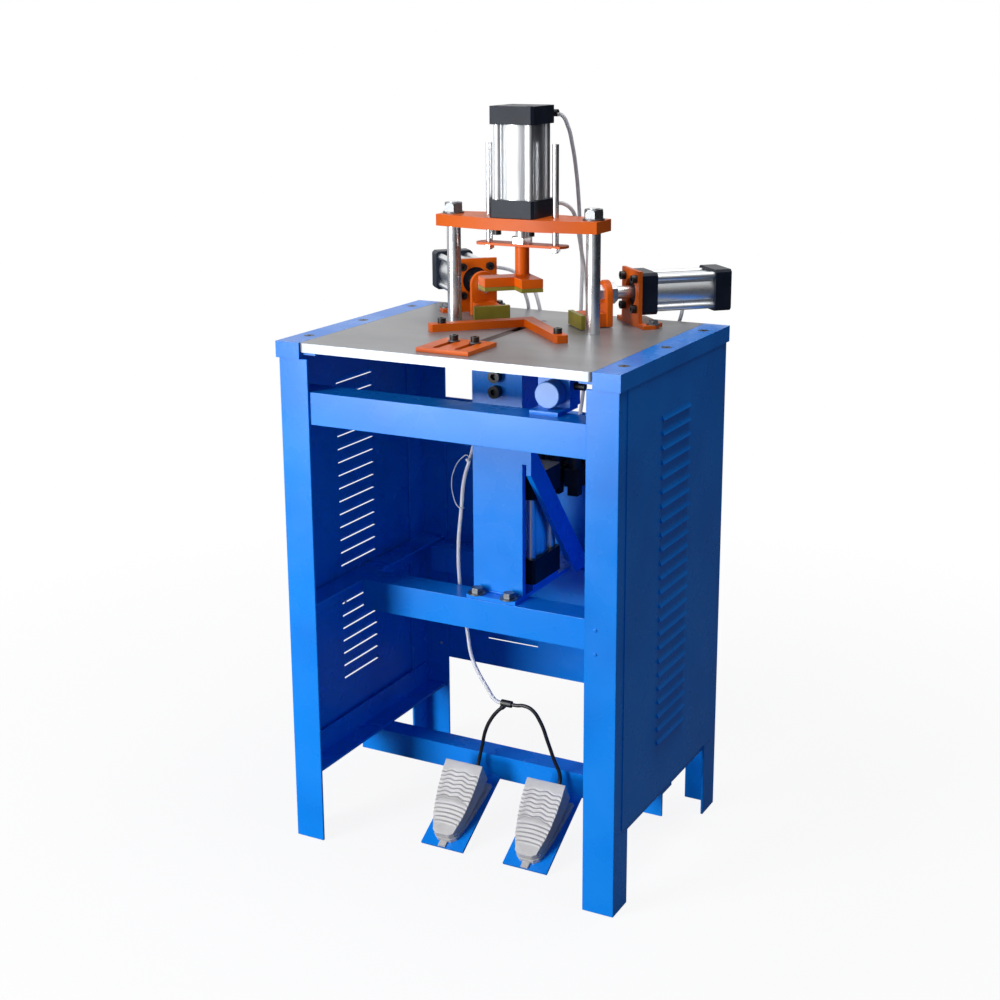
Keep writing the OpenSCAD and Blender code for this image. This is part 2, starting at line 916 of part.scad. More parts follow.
module press_rod() {
    color(steel)
        translate([0, press_y, press_cap_bottom]) {
            cylinder_rod(press_bore, rod_diameter / 2,
                cap_length + press_stroke + piston_end_gap,
                press_cap_bottom - strip_top + strip_thickness);
            translate([0, 0, strip_top - press_cap_bottom])
                hex_prism(rod_nut_flats, rod_nut_height);
        }
}

module guide_strip() {
    color(orange)
        translate([0, press_y, strip_top - strip_thickness])
            difference() {
                linear_extrude(height = strip_thickness)
                    polygon([
                        [-strip_half_length, -6], [6 - strip_half_length, -strip_half_width],
                        [strip_half_length - 6, -strip_half_width], [strip_half_length, -6],
                        [strip_half_length, 6], [strip_half_length - 6, strip_half_width],
                        [6 - strip_half_length, strip_half_width], [-strip_half_length, 6]
                    ]);
                translate([0, 0, -1])
                    cylinder(r = rod_diameter / 2 + side_gap / 2, h = strip_thickness + 2);
                for (x = [-1, 1])
                    translate([x * guide_rod_spacing / 2, 0, -1])
                        cylinder(r = guide_rod_diameter / 2, h = strip_thickness + 2);
            }
}

// the rods are threaded into the strip, with a lock nut below it
module guide_rods() {
    color(steel)
        for (x = [-1, 1])
            translate([x * guide_rod_spacing / 2, press_y, 0]) {
                translate([0, 0, strip_top])
                    cylinder(r = guide_rod_diameter / 2, h = beam_top + 110 - strip_top);
                translate([0, 0, strip_top - strip_thickness - 8])
                    cylinder(r = guide_rod_diameter / 2 - 0.4, h = strip_thickness + 8 + eps);
                translate([0, 0, strip_top - strip_thickness - 6])
                    hex_prism(14, 6);
            }
}

// outline of the press foot: two arms that meet at the rear
module foot_outline() {
    d = sqrt(0.5);
    left_outer = [-foot_left_arm * d, foot_outer_y - foot_left_arm * d];
    left_inner = left_outer + [foot_arm * d, -foot_arm * d];
    right_outer = [foot_right_arm * d, foot_outer_y - foot_right_arm * d];
    right_inner = right_outer + [-foot_arm * d, -foot_arm * d];
    polygon([
        [0, foot_outer_y], left_outer, left_inner, [0, foot_inner_y], right_inner, right_outer
    ]);
}

module press_foot() {
    color(orange) {
        translate([0, 0, foot_bottom])
            linear_extrude(height = foot_thickness)
                foot_outline();
        translate([0, press_y, foot_top - eps])
            cylinder(r = post_radius, h = strip_top - strip_thickness - foot_top + eps);
        translate([0, press_y, foot_top - eps])
            cylinder(r1 = post_radius + 3, r2 = post_radius, h = 3);
    }
}

module press_pad() {
    color(olive)
        translate([0, 0, foot_bottom - pad_thickness])
            linear_extrude(height = pad_thickness)
                foot_outline();
}

// -------------------------------------------------------------- fence and feed

// bar of the fence from the corner towards the front, on the +X side
module fence_arm() {
    d = fence_bar / 2;
    translate([0, fence_middle_y, 0])
        rotate([0, 0, -45])
            linear_extrude(height = fence_height)
                difference() {
                    union() {
                        translate([-d, -d])
                            square([fence_length - fence_end_radius + d, fence_bar]);
                        translate([fence_length - 2 * fence_end_radius, fence_end_radius - d])
                            square([2 * fence_end_radius, fence_bar - 2 * fence_end_radius]);
                        for (y = [fence_end_radius - d, d - fence_end_radius])
                            translate([fence_length - fence_end_radius, y])
                                circle(r = fence_end_radius, $fn = 24);
                    }
                    for (x = fence_screw_along)
                        translate([x, 0])
                            circle(r = 4 + side_gap, $fn = 24);
                }
}

module corner_fence() {
    color(orange)
        translate([0, 0, worktop_height])
            for (side = [0, 1])
                mirror([side, 0, 0])
                    fence_arm();
}

module fence_screw_positions() {
    for (side = [0, 1], along = fence_screw_along)
        mirror([side, 0, 0])
            translate([0, fence_middle_y, worktop_height])
                rotate([0, 0, -45])
                    translate([along, 0, 0])
                        children();
}

module slotted_plate() {
    color(orange)
        translate([0, 0, worktop_height + plate_lift])
            linear_extrude(height = plate_thickness)
                difference() {
                    translate([plate_left, plate_front])
                        square(slide_plate);
                    for (x = slide_screw_x) {
                        translate([x - slot_half_width, plate_front + 14])
                            square([2 * slot_half_width,
                                slide_screw_y - plate_front - 14]);
                        for (y = [plate_front + 14, slide_screw_y])
                            translate([x, y])
                                circle(r = slot_half_width, $fn = 24);
                    }
                }
}

module feed_strip() {
    top = worktop_height - side_gap;
    color(cap_black)
        difference() {
            union() {
                translate([-feed_width / 2, feed_front, worktop_height - feed_thickness])
                    cube([feed_width, feed_rear - feed_front, feed_thickness - side_gap]);
                translate([-feed_width / 2, feed_front, top - eps])
                    cube([feed_width, feed_plate_overlap, side_gap + plate_lift + eps]);
            }
            translate([-blade_width / 2 - 1, driver_y - 28, worktop_height - 10])
                cube([blade_width + 2, 36, 12]);
        }
}

// ----------------------------------------------------------------- side clamps

// the clamp lies along +X here, its axis at y = clamp_offset
module on_clamp_axis(along) {
    translate([along, clamp_offset, clamp_z])
        rotate([0, 90, 0])
            children();
}

module clamp_turn(side) {
    mirror([side, 0, 0])
        rotate([0, 0, 45])
            children();
}

module clamp_bolt_positions() {
    rotate([0, 0, 45])
        for (y = [-clamp_bolt_half, clamp_bolt_half])
            translate([clamp_bolt_x, y + clamp_offset, worktop_height])
                children();
}

// the bracket's foot: wider than its plate, with an ear for a bolt at each end
module bracket_foot_outline() {
    end = bracket_foot_half_width;
    polygon([
        [0, -end], [20, -end], [30, 8 - end], [34, 20 - end],
        [bracket_foot_length, -bracket_half_width], [bracket_foot_length, bracket_half_width],
        [34, end - 20], [30, end - 8], [20, end], [0, end]
    ]);
}

module clamp_bracket() {
    rotate([0, 0, 45])
        difference() {
            union() {
                translate([clamp_distance, clamp_offset - bracket_half_width, worktop_height])
                    cube([bracket_thickness, 2 * bracket_half_width, bracket_height]);
                translate([clamp_distance, clamp_offset, worktop_height])
                    linear_extrude(height = bracket_foot_thickness)
                        bracket_foot_outline();
            }
            on_clamp_axis(clamp_distance - 1)
                cylinder(r = 22, h = bracket_thickness + 2);
            on_clamp_axis(clamp_distance - 1)
                at_square(clamp_bolt_square)
                    cylinder(r = 4 + side_gap, h = bracket_thickness + 2);
            for (y = [-clamp_bolt_half, clamp_bolt_half])
                translate([clamp_bolt_x, y + clamp_offset, worktop_height - 1])
                    cylinder(r = 4 + side_gap, h = bracket_foot_thickness + 2);
        }
}

module clamp_caps(side) {
    color(cap_black)
        clamp_turn(side)
            on_clamp_axis(clamp_cylinder_start)
                cylinder_caps(clamp_size, cap_length, clamp_length, rod_diameter / 2);
}

module clamp_barrel(side) {
    color(alloy)
        clamp_turn(side)
            on_clamp_axis(clamp_cylinder_start)
                cylinder_barrel(clamp_size, clamp_bore, cap_length, clamp_length);
}

// at rest the clamp's rod is drawn in, with its piston near the rear cap
module clamp_rod(side) {
    color(steel)
        clamp_turn(side) {
            on_clamp_axis(clamp_cylinder_start)
                cylinder_rod(clamp_bore, rod_diameter / 2, cap_length + clamp_stroke + piston_end_gap,
                    clamp_cylinder_start - jaw_back);
            on_clamp_axis(jaw_back)
                hex_prism(rod_nut_flats, rod_nut_height);
            // threaded end through the jaw's plate, with its domed nut
            on_clamp_axis(jaw_back - jaw_plate - eps)
                cylinder(r = jaw_thread_radius, h = jaw_plate + 2 * eps);
            on_clamp_axis(jaw_back - jaw_plate - jaw_nut_height) {
                hex_prism(jaw_nut_flats, jaw_nut_height);
                translate([0, 0, -4])
                    cylinder(r1 = jaw_nut_flats * 0.25, r2 = jaw_nut_flats * 0.46, h = 4 + eps);
            }
        }
}

module jaw(side) {
    radius = jaw_width / 2;
    color(orange)
        clamp_turn(side) {
            difference() {
                union() {
                    on_clamp_axis(jaw_back - jaw_plate)
                        cylinder(r = radius, h = jaw_plate);
                    translate([jaw_back - jaw_plate, clamp_offset - radius,
                            worktop_height + jaw_lift])
                        cube([jaw_plate, jaw_width, clamp_axis - jaw_lift]);
                }
                on_clamp_axis(jaw_back - jaw_plate - 1)
                    cylinder(r = jaw_thread_radius + slide_gap, h = jaw_plate + 2);
            }
            translate([jaw_block_front, clamp_offset - radius + 3, worktop_height + jaw_lift])
                cube([
                    jaw_back - jaw_plate - jaw_block_front + eps,
                    jaw_width - 6,
                    jaw_block_height
                ]);
        }
}

module jaw_pad(side) {
    color(olive)
        clamp_turn(side)
            translate([jaw_block_front - jaw_pad_thickness, clamp_offset - jaw_pad_width / 2,
                    worktop_height + jaw_lift])
                cube([jaw_pad_thickness, jaw_pad_width, jaw_block_height]);
}

// ------------------------------------------------------------------ fasteners

module black_screws() {
    color(rubber_black) {
        // countersunk screws of the top rails
        for (side = [0, 1])
            mirror([side, 0, 0])
                rail_screw_positions()
                    translate([0, 0, -4])
                        difference() {
                            union() {
                                cylinder(r1 = 4, r2 = 8, h = 4);
                                translate([0, 0, -4])
                                    cylinder(r = 4, h = 5);
                            }
                            translate([0, 0, 1.5])
                                hex_prism(5, 4);
                        }
        // column's two screws into the ram guide
        for (z = column_bolt_heights)
            translate([0, column_front_y, z])
                rotate([90, 0, 0])
                    socket_screw(12, column_thickness + 11);
        // cylinder screws under the beam
        translate([0, press_y, beam_bottom])
            rotate([180, 0, 0])
                at_square(bolt_square)
                    socket_screw(8, beam_thickness);
        // cylinder screws of the clamp brackets
        for (side = [0, 1])
            clamp_turn(side)
                on_clamp_axis(clamp_distance)
                    at_square(clamp_bolt_square)
                        rotate([180, 0, 0])
                            socket_screw(8, bracket_thickness);
        fence_screw_positions()
            translate([0, 0, fence_height])
                socket_screw(8, fence_height + 10);
        for (x = slide_screw_x)
            translate([x, slide_screw_y, worktop_height + plate_lift * 2 + plate_thickness + 1.6])
                socket_screw(8, 18);
    }
}

module hex_fasteners() {
    color(steel) {
        for (x = [-1, 1])
            translate([x * pillar_spacing / 2, press_y, 0]) {
                translate([0, 0, beam_top])
                    dome_nut(nut_flats, nut_height, pillar_thread_radius - side_gap);
                translate([0, 0, worktop_underside])
                    rotate([180, 0, 0])
                        dome_nut(nut_flats, nut_height, pillar_thread_radius - side_gap);
            }
        for (side = [0, 1])
            mirror([side, 0, 0])
                clamp_bolt_positions()
                    translate([0, 0, bracket_foot_thickness]) {
                        hex_bolt(13, 5, 1.6);
                        translate([0, 0, -bracket_foot_thickness - 10])
                            cylinder(r = 4, h = bracket_foot_thickness + 10);
                    }
        for (x = [-29, 27])
            translate([x, -50, base_top])
                hex_bolt(17, 8, 2);
        for (x = [-29, 27])
            translate([x, shelf_rear_y + 22, base_top])
                hex_bolt(17, 8, 2);
        for (x = slide_screw_x)
            translate([x, slide_screw_y, worktop_height + plate_lift * 2 + plate_thickness])
                difference() {
                    cylinder(r = 9, h = 1.6);
                    translate([0, 0, -1])
                        cylinder(r = 4, h = 4);
                }
    }
}

// --------------------------------------------------------------------- pedals

// along the pedal plate: y runs up the slope, z stands square to it
module on_pedal_plate() {
    translate([0, pedal_plate_front_y - pedal_plate_thickness * sin(pedal_slope),
            pedal_plate_thickness * cos(pedal_slope)])
        rotate([pedal_slope, 0, 0])
            children();
}

// outline of a pedal seen square to its plate, widened by grow, its sides rounded by bulge
module pedal_outline(start, end, grow, bulge = 2) {
    front = pedal_front_width / 2 + grow;
    rear = pedal_rear_width / 2 + grow;
    nose = 10;
    sides = [for (t = [0.2:0.2:1])
        [front + (rear - front) * t + bulge * sin(180 * (t * 0.8 + 0.1)),
            start + nose + (end + grow - start - nose) * t]];
    polygon(concat(
        [[-front * 0.55, start - grow], [front * 0.55, start - grow],
            [front * 0.92, start + nose * 0.5]],
        sides,
        [for (i = [len(sides) - 1:-1:0]) [-sides[i][0], sides[i][1]]],
        [[-front * 0.92, start + nose * 0.5]]
    ));
}

module side_profile(half_width, points) {
    translate([-half_width, 0, 0])
        rotate([90, 0, 90])
            linear_extrude(height = 2 * half_width)
                polygon(points);
}

function tread_height(s) = pedal_front_height
    + (pedal_rear_height - pedal_front_height) * (s - pedal_start) / (pedal_length - 3);

module pedal_base() {
    on_pedal_plate() {
        // tray with its rim
        linear_extrude(height = pedal_tray_height)
            pedal_outline(pedal_start, pedal_end, 1.5);
        // switch housing under the treadle
        intersection() {
            linear_extrude(height = pedal_rear_height)
                pedal_outline(pedal_start + 12, pedal_end - 6, -pedal_skin - 1.5);
            side_profile(pedal_rear_width, [
                [pedal_start + 12, 1], [pedal_end - 2, 1],
                [pedal_end - 2, tread_height(pedal_end) - pedal_skin - pedal_drop - 1.5],
                [pedal_start + 12, pedal_front_height - 6.5]
            ]);
        }
        // lugs that hold the treadle's pin
        for (side = [-1, 1])
            translate([side * (pedal_front_width / 4 - 4) - 2, pedal_hinge_s, pedal_hinge_n])
                rotate([0, 90, 0]) {
                    cylinder(r = pedal_pin_radius + 1.4, h = 4);
                    translate([0, -pedal_pin_radius - 1.4, 0])
                        cube([pedal_hinge_n - pedal_tray_height + eps,
                            2 * pedal_pin_radius + 2.8, 4]);
                }
        // rear wall with the cable gland
        translate([-pedal_rear_width / 2 + 6, pedal_end - 8, 0])
            cube([pedal_rear_width - 12, 6,
                tread_height(pedal_end) - pedal_skin - pedal_drop - 3]);
        translate([pedal_gland_x, pedal_end - 4, gland_n])
            rotate([-90, 0, 0])
                cylinder(r = pedal_gland_radius, h = gland_length + 4);
        // front tab
        translate([-6, 0, 0])
            cube([12, pedal_start + 4, 3]);
    }
}

module pedal_bases() {
    color(pedal_grey)
        for (x = pedal_x)
            translate([x, 0, 0])
                difference() {
                    pedal_base();
                    on_pedal_plate()
                        translate([-pedal_rear_width, pedal_hinge_s, pedal_hinge_n])
                            rotate([0, 90, 0])
                                cylinder(r = pedal_pin_radius + slide_gap, h = 2 * pedal_rear_width);
                }
}

// cover with a ribbed top, open below, turning on a pin across its front
module treadle(x) {
    rib = (pedal_length - 24) / pedal_rib_count;
    ribs = [for (i = [0:pedal_rib_count - 1], k = [0, 1])
        let (s = pedal_start + 10 + rib * (pedal_rib_count - 1 - i + (k == 0 ? 0.75 : 0.25)))
        [s, tread_height(s) + (k == 0 ? pedal_rib_height : -pedal_rib_height / 3)]];
    color(pedal_grey)
        translate([x, 0, 0])
            on_pedal_plate() {
                difference() {
                    intersection() {
                        linear_extrude(height = pedal_rear_height + 10)
                            pedal_outline(pedal_start, pedal_end - 1, 0, pedal_bulge);
                        side_profile(pedal_rear_width, concat([
                            [pedal_start - 2, pedal_tray_height + 1.5],
                            [pedal_start + 16, pedal_tray_height + 1.5],
                            [pedal_end, pedal_tray_height + pedal_drop],
                            [pedal_end, tread_height(pedal_end)]
                        ], ribs, [[pedal_start - 2, pedal_front_height]]));
                    }
                    difference() {
                        translate([0, 0, -1])
                            linear_extrude(height = pedal_rear_height + 10)
                                pedal_outline(pedal_start + pedal_skin, pedal_end + 4,
                                    -pedal_skin, pedal_bulge);
                        side_profile(pedal_rear_width, [
                            [pedal_start - 4, pedal_front_height - pedal_skin],
                            [pedal_end + 6, tread_height(pedal_end + 6) - pedal_skin],
                            [pedal_end + 6, pedal_rear_height * 2],
                            [pedal_start - 4, pedal_rear_height * 2]
                        ]);
                    }
                }
                translate([-pedal_front_width / 2 - 1, pedal_hinge_s, pedal_hinge_n])
                    rotate([0, 90, 0])
                        cylinder(r = pedal_pin_radius, h = pedal_front_width + 2);
            }
}

// ------------------------------------------------------------ air and electrics

// push-in elbow: a stem out of the port along +Z, then a socket along +X
module elbow(stem, reach) {
    cylinder(r = fitting_radius - 1, h = stem + fitting_radius);
    translate([-fitting_radius, 0, stem])
        rotate([0, 90, 0])
            cylinder(r = fitting_radius, h = reach + fitting_radius);
}

module air_fittings() {
    color(rubber_black) {
        // behind the press cylinder's caps
        for (z = [press_cap_bottom + 17, press_cap_bottom + press_length - 13])
            translate([20, press_y + press_size / 2, z])
                rotate([-90, 0, 0])
                    elbow(104 - press_y - press_size / 2, 14);
        // on the clamp caps, pointing away from the worktop's middle
        for (along = [13, clamp_length - 13])
            clamp_turn(1)
                translate([clamp_cylinder_start + along, clamp_size / 2 + clamp_offset, clamp_z])
                    rotate([-90, 0, 0])
                        cylinder(r = fitting_radius, h = 12);
        clamp_turn(0)
            translate([clamp_cylinder_start + clamp_length - 13,
                    clamp_size / 2 + clamp_offset, clamp_z])
                rotate([-90, 0, 0])
                    cylinder(r = fitting_radius, h = 12);
        // on top of the valve manifold
        for (x = manifold_fitting_x)
            translate([x, half_depth - 14, manifold_top])
                cylinder(r = fitting_radius, h = fitting_top - manifold_top);
        // at both sides of the regulator
        translate([regulator_x - 25, -132, regulator_z - 12])
            rotate([0, -90, 0])
                elbow(6, 8);
        translate([regulator_x + 25, -132, regulator_z + 8])
            rotate([0, 90, 0])
                cylinder(r = fitting_radius, h = 16);
    }
}

module valve_manifold() {
    color(rubber_black) {
        translate([manifold_left, half_depth - manifold_depth, manifold_bottom])
            cube([manifold_right - manifold_left, manifold_depth, manifold_top - manifold_bottom]);
        for (x = [-28, 5, 38])
            translate([x, half_depth - manifold_depth, manifold_bottom]) {
                translate([-13, -26, 2])
                    cube([26, 26 + eps, manifold_top - manifold_bottom - 4]);
                translate([0, -13, manifold_top - manifold_bottom - 4])
                    cylinder(r = 11, h = 34);
                translate([-9, -22, -14])
                    cube([18, 18, 18]);
            }
        translate([manifold_left - 10, half_depth - 16, manifold_bottom + manifold_height / 2])
            rotate([0, 90, 0])
                cylinder(r = 6, h = 12);
    }
}

module air_regulator() {
    flange_back = front_bar_y + leg_size;
    body_front = knob_front_y + knob_length + 1;
    color(blue)
        difference() {
            union() {
                translate([regulator_x - 25, body_front, crossbar_top + 6])
                    cube([50, 34, regulator_z + 16 - crossbar_top]);
                translate([regulator_x - 22, flange_back - 30, crossbar_top])
                    cube([44, 66, 6 + eps]);
                translate([regulator_x, knob_front_y + knob_length + side_gap, regulator_z])
                    rotate([-90, 0, 0])
                        cylinder(r = 15, h = 4);
            }
            translate([regulator_x, knob_front_y + knob_length - 1, regulator_z])
                rotate([-90, 0, 0])
                    cylinder(r = regulator_shaft_radius + slide_gap, h = 24);
        }
}

module regulator_knob() {
    color(blue)
        translate([regulator_x, knob_front_y, regulator_z])
            rotate([-90, 0, 0]) {
                cylinder(r1 = knob_radius - 1, r2 = knob_radius, h = 1);
                translate([0, 0, 1 - eps])
                    cylinder(r = knob_radius, h = knob_length - 1 + eps);
                translate([0, 0, knob_length - eps])
                    cylinder(r = regulator_shaft_radius, h = 20);
            }
}

// moulded sleeve where the cable splits, with an outlet slanting down to the left
module cable_junction() {
    color(rubber_black) {
        translate([8, -40, 221])
            rotate([0, 90, 0])
                cylinder(r = sleeve_radius, h = 18);
        translate([16, -40, 220])
            rotate([0, -135, 0])
                cylinder(r = lead_radius + 1, h = 8 * sqrt(2));
    }
}

module control_cable() {
    color(hose_white)
        swept_tube(cable_route, cable_radius, [0, 0.3, -1]);
}

module left_lead() {
    color(rubber_black)
        swept_tube(left_lead_route, lead_radius, [0, 1, 0]);
}

module right_lead() {
    color(rubber_black)
        swept_tube(right_lead_route, lead_radius, [0, 1, 0]);
}

module hose(route, side = [1, 0, 0]) {
    color(hose_white)
        swept_tube(route, hose_radius, side);
}

// ---------------------------------------------------------------------- output

top_rails();
leg(0, 0);  // front_left_leg
leg(1, 0);  // front_right_leg
leg(0, 1);  // rear_left_leg
leg(1, 1);  // rear_right_leg
crossbars();
left_panel();
right_panel();
rear_panel();
side_rails();
pedal_bar();
worktop();
column();
black_screws();
hex_fasteners();
pillars();
beam();
press_caps();
press_barrel();
press_rod();
guide_strip();
guide_rods();
press_foot();
press_pad();
color(orange) mirror([1, 0, 0]) clamp_bracket();  // left_clamp_bracket
clamp_caps(1);  // left_clamp_caps
clamp_barrel(1);  // left_clamp_barrel
clamp_rod(1);  // left_clamp_rod
jaw(1);  // left_jaw
jaw_pad(1);  // left_jaw_pad
color(orange) clamp_bracket();  // right_clamp_bracket
clamp_caps(0);  // right_clamp_caps
clamp_barrel(0);  // right_clamp_barrel
clamp_rod(0);  // right_clamp_rod
jaw(0);  // right_jaw
jaw_pad(0);  // right_jaw_pad
driver_caps();
driver_barrel();
driver_rod();
ram();
ram_guide();
corner_fence();
slotted_plate();
feed_strip();
pedal_bases();
treadle(pedal_x[0]);  // left_treadle
treadle(pedal_x[1]);  // right_treadle
control_cable();
cable_junction();
left_lead();
right_lead();
hose(press_top_route, [1, 1, 0]);  // press_top_hose
hose(press_bottom_route, [1, 1, 0]);  // press_bottom_hose
hose(left_hose_a_route);  // left_hose_a
hose(left_hose_b_route);  // left_hose_b
hose(right_hose_route);  // right_hose
valve_manifold();
air_fittings();
air_regulator();
regulator_knob();
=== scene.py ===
# The picture frame underpinner, dressed for its portrait: paint, metal, tubes and small parts
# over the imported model. Metres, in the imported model's frame.
import json
import math
import bmesh
import bpy
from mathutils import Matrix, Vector


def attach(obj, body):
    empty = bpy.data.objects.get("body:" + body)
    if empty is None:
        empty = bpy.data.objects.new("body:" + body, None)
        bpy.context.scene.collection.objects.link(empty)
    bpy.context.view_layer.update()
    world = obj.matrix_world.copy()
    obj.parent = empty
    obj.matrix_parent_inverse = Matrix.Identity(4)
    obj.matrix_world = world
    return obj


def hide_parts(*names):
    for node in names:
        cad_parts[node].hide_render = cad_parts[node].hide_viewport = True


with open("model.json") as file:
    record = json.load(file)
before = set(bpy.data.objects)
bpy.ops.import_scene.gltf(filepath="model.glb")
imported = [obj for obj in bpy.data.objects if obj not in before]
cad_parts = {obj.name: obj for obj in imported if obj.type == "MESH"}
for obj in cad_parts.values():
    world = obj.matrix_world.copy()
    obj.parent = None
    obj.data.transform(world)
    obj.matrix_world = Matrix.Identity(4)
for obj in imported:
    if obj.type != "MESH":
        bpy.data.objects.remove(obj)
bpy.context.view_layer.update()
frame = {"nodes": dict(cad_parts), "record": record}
nodes = frame["nodes"]
slots = {part["node"]: part["material_slot"] for part in frame["record"]["subparts"]}
body_of = {name: body for body, names in frame["record"]["behaviour"]["bodies"].items()
           for name in names}
MM = 0.001
CORNERS = [(-1, -1), (-1, 1), (1, -1), (1, 1)]


# ------------------------------------------------------------------ camera and light

camera = bpy.data.objects.new("camera", bpy.data.cameras.new("camera"))
bpy.context.collection.objects.link(camera)
camera.location = (1.12575, -2.14268, 1.25322)
camera.rotation_euler = [math.radians(a) for a in (75.8191, 0.3074, 27.9255)]
camera.data.sensor_width = 36
camera.data.lens = 57.997
camera.data.shift_y = -0.06
camera.data.clip_end = 50
bpy.context.scene.camera = camera
bpy.context.scene.view_settings.view_transform = "Standard"


def linear(code):
    """An sRGB hex colour as linear red, green, blue and alpha."""
    parts = [int(code[i:i + 2], 16) / 255 for i in (1, 3, 5)]
    return tuple(p / 12.92 if p <= 0.04045 else ((p + 0.055) / 1.055) ** 2.4 for p in parts) + (1,)


def put(tree, kind, sockets=None, **settings):
    """Adds a node with its settings. Each of sockets is a value or another node's output."""
    made = tree.nodes.new(kind)
    for name, value in settings.items():
        setattr(made, name, value)
    for name, value in (sockets or {}).items():
        if isinstance(value, bpy.types.NodeSocket):
            tree.links.new(value, made.inputs[name])
        else:
            made.inputs[name].default_value = value
    return made


# White backdrop for the camera and through glass. Metal and paint reflect the same white studio,
# which falls off to a dark curtain on the right, and a weak cool ambient fills the rest.
world = bpy.data.worlds.new("white_studio")
bpy.context.scene.world = world
world.use_nodes = True
tree = world.node_tree
tree.nodes.clear()
rays = put(tree, "ShaderNodeLightPath")
place = put(tree, "ShaderNodeTexCoord")
side = put(tree, "ShaderNodeVectorMath", {0: place.outputs["Generated"], 1: (-0.72, -0.3, 0.63)},
           operation="DOT_PRODUCT")
falloff = put(tree, "ShaderNodeMapRange", {"Value": side.outputs["Value"], "From Min": -0.5,
                                           "From Max": 0.1, "To Min": 0.008, "To Max": 1.0})
straight = put(tree, "ShaderNodeMath", {0: rays.outputs["Is Camera Ray"],
                                        1: rays.outputs["Is Transmission Ray"]},
               operation="MAXIMUM")
ambient = put(tree, "ShaderNodeBackground", {"Color": linear("#d5e0ff"), "Strength": 0.19})
curtain = put(tree, "ShaderNodeBackground", {"Color": (1, 1, 1, 1),
                                             "Strength": falloff.outputs[0]})
backdrop = put(tree, "ShaderNodeBackground", {"Color": (1, 1, 1, 1), "Strength": 1.0})
mirrored = put(tree, "ShaderNodeMixShader", {0: rays.outputs["Is Glossy Ray"],
                                             1: ambient.outputs[0], 2: curtain.outputs[0]})
shown = put(tree, "ShaderNodeMixShader", {0: straight.outputs[0], 1: mirrored.outputs[0],
                                          2: backdrop.outputs[0]})
put(tree, "ShaderNodeOutputWorld", {"Surface": shown.outputs[0]})


def lamp(name, place, target, size, power):
    """A square softbox that faces its target."""
    light = bpy.data.lights.new(name, "AREA")
    light.size = size
    light.energy = power
    lit = bpy.data.objects.new(name, light)
    lit.location = place
    lit.rotation_euler = (Vector(target) - Vector(place)).to_track_quat("-Z", "Y").to_euler()
    bpy.context.collection.objects.link(lit)


# name, place, target, width in metres and power in watts
lamp("key_softbox", (-1.9, -3.2, 2.4), (0, 0, 0.55), 1.8, 76)
lamp("low_softbox", (-1.5, -3.1, 0.55), (0, 0, 0.5), 1.0, 73)
lamp("top_softbox", (0.62, 0.1, 3.2), (0.2, 0, 0.7), 1.1, 30)


def select_only(piece):
    """Leaves edit mode and makes the piece the only selected and the active object."""
    if bpy.context.object and bpy.context.object.mode != "OBJECT":
        bpy.ops.object.mode_set(mode="OBJECT")
    bpy.ops.object.select_all(action="DESELECT")
    piece.select_set(True)
    bpy.context.view_layer.objects.active = piece


select_only(camera)
bpy.ops.mesh.primitive_plane_add(size=14, location=(0, 0, -0.0006))
floor = bpy.context.object
floor.name = "studio_floor"
paint = bpy.data.materials.new("pale_studio_floor")
paint.use_nodes = True
tree = paint.node_tree
tree.nodes.clear()
rays = put(tree, "ShaderNodeLightPath")
tint = put(tree, "ShaderNodeMix", {"Factor": rays.outputs["Is Camera Ray"],
                                   "A": linear("#73767b"), "B": linear("#f6f7f8")},
           data_type="RGBA")
matt = put(tree, "ShaderNodeBsdfDiffuse", {"Color": tint.outputs["Result"]})
glow = put(tree, "ShaderNodeEmission", {"Color": (1, 1, 1, 1), "Strength": 1.0})
place = put(tree, "ShaderNodeTexCoord")
away = put(tree, "ShaderNodeVectorMath", {0: place.outputs["Object"]}, operation="LENGTH")
fade = put(tree, "ShaderNodeMapRange", {"Value": away.outputs["Value"], "From Min": 0.6,
                                        "From Max": 1.7, "To Min": 0.9, "To Max": 1.0})
share = put(tree, "ShaderNodeMath", {0: rays.outputs["Is Camera Ray"], 1: fade.outputs[0]},
            operation="MULTIPLY")
mixed = put(tree, "ShaderNodeMixShader", {0: share.outputs[0], 1: matt.outputs[0],
                                          2: glow.outputs[0]})
put(tree, "ShaderNodeOutputMaterial", {"Surface": mixed.outputs[0]})
floor.data.materials.append(paint)


# -------------------------------------------------------------------------- materials

def material(name):
    """An empty material, its tree and its Principled shader."""
    made = bpy.data.materials.new(name)
    made.use_nodes = True
    made.node_tree.nodes.clear()
    shader = put(made.node_tree, "ShaderNodeBsdfPrincipled")
    put(made.node_tree, "ShaderNodeOutputMaterial", {"Surface": shader.outputs[0]})
    return made, made.node_tree, shader


def mapped(tree, scale=(1, 1, 1), turn=(0, 0, 0)):
    """Object coordinates, turned and stretched."""
    place = put(tree, "ShaderNodeTexCoord")
    return put(tree, "ShaderNodeMapping", {"Vector": place.outputs["Object"], "Scale": scale,
                                           "Rotation": turn}).outputs[0]


def noise(tree, vector, scale, detail=3, rough=0.55):
    """Fractal noise, scale in patches a metre."""
    return put(tree, "ShaderNodeTexNoise", {"Vector": vector, "Scale": scale, "Detail": detail,
                                            "Roughness": rough}).outputs["Fac"]


def ramp(tree, fac, *stops):
    """A colour ramp whose stops are a place and a hex colour or a plain grey value."""
    made = put(tree, "ShaderNodeValToRGB", {"Fac": fac})
    band = made.color_ramp
    while len(band.elements) < len(stops):
        band.elements.new(0.5)
    for element, (place, colour) in zip(band.elements, stops):
        element.position = place
        element.color = linear(colour) if isinstance(colour, str) else (colour,) * 3 + (1,)
    return made.outputs["Color"]


